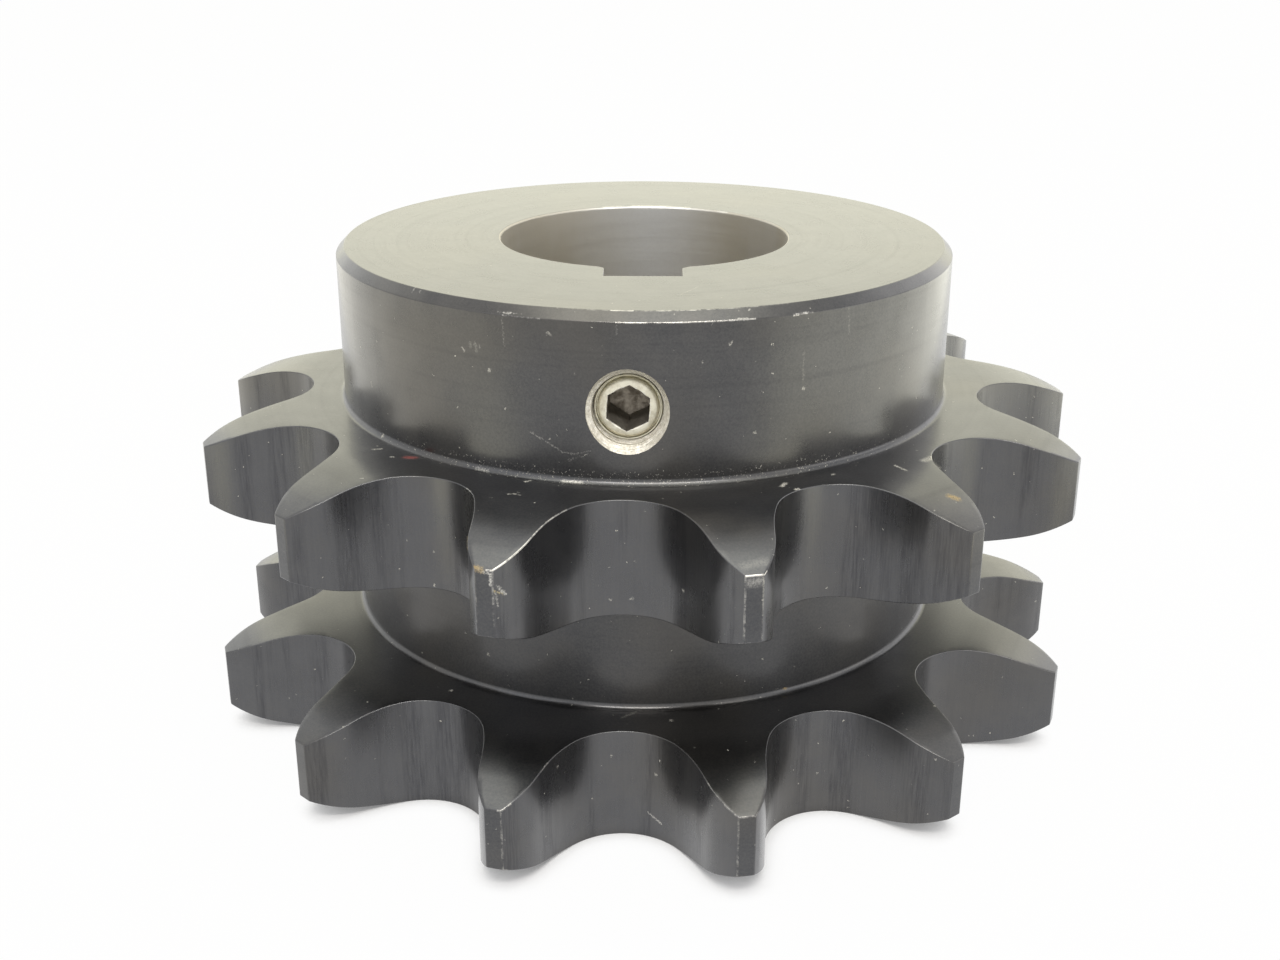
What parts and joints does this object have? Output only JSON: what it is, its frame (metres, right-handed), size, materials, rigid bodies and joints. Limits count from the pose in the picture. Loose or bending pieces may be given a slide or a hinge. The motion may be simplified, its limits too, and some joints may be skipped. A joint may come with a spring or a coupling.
{
  "type": "roller chain sprocket",
  "caption": "Double-strand roller chain sprocket turned from one steel bar, with a hub on one side, a keyed bore and set screws in the hub.",
  "frame": {"origin": "on the axis of the bore, at the flat face away from the hub, which the part stands on", "axes": "+Z along the bore towards the hub's end, and -Y through the middle of a tooth space and the set screw over the keyway"},
  "size_m": [0.1176, 0.1168, 0.0635],
  "materials": {
    "black_oxide_steel": "turned and hobbed steel, blackened, with a light satin sheen and bare spots on its corners",
    "bare_steel": "plain steel, dull and slightly worn"
  },
  "bodies": {
    "root": {"sprocket": "black_oxide_steel", "keyway_set_screw": "bare_steel", "side_set_screw": "bare_steel"}
  },
  "joints": []
}
